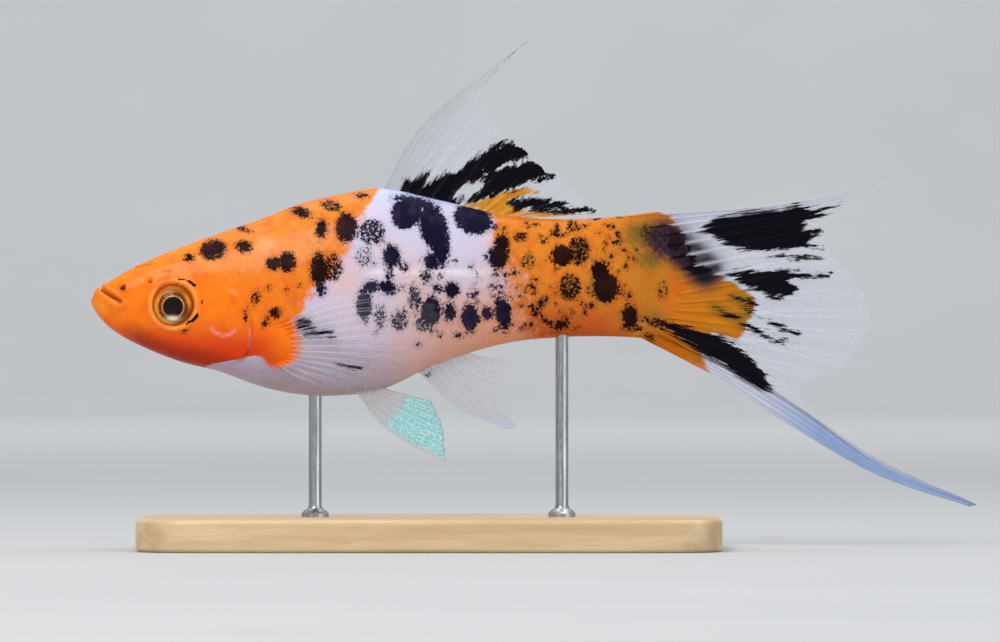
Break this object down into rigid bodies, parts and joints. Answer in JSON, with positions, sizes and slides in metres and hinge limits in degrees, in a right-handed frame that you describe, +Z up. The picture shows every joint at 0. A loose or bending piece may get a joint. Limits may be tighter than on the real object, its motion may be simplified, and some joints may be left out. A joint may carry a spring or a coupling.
{
  "type": "swordtail",
  "caption": "Swordtail fish with a high dorsal fin, a tail fin with both edges drawn out and a long lower sword, as a still life-size model on a flat display stand with two rods",
  "frame": {"origin": "the middle of the underside of the flat display base, with Z = 0 on the surface that it stands on", "axes": "X runs along the fish, which faces -X; its left side faces -Y; Z is up"},
  "size_m": [0.11, 0.036, 0.063],
  "materials": {
    "skin_orange": "wet, scaled fish skin, orange with black blotches, satin gloss",
    "skin_white": "wet, scaled fish skin, pearly white with black blotches, satin gloss",
    "eye": "clear cornea over a gold ring, amber iris and black pupil",
    "fin_clear": "thin translucent fin membrane with fine rays, pale lilac with black and orange pigment",
    "fin_orange": "thin translucent fin membrane with fine rays, orange with black streaks",
    "stand_wood": "pale maple, fine grain, satin oil",
    "stand_steel": "thin round steel rods, fine brushed finish"
  },
  "bodies": {
    "root": {"head": "skin_orange", "upper_jaw": "skin_orange", "lower_jaw": "skin_orange", "gill_cover_left": "skin_orange", "gill_cover_right": "skin_orange", "trunk_front": "skin_white", "trunk_rear": "skin_white", "tail_base": "skin_orange", "eye_left": "eye", "eye_right": "eye", "dorsal_fin": "fin_clear", "tail_fin_upper": "fin_clear", "tail_fin_middle": "fin_clear", "tail_fin_sword": "fin_clear", "anal_fin": "fin_clear", "pelvic_fin_left": "fin_clear", "pelvic_fin_right": "fin_clear", "pectoral_fin_left": "fin_orange", "pectoral_fin_right": "fin_orange", "stand_base": "stand_wood", "stand_rod_front": "stand_steel", "stand_rod_rear": "stand_steel"}
  },
  "joints": []
}
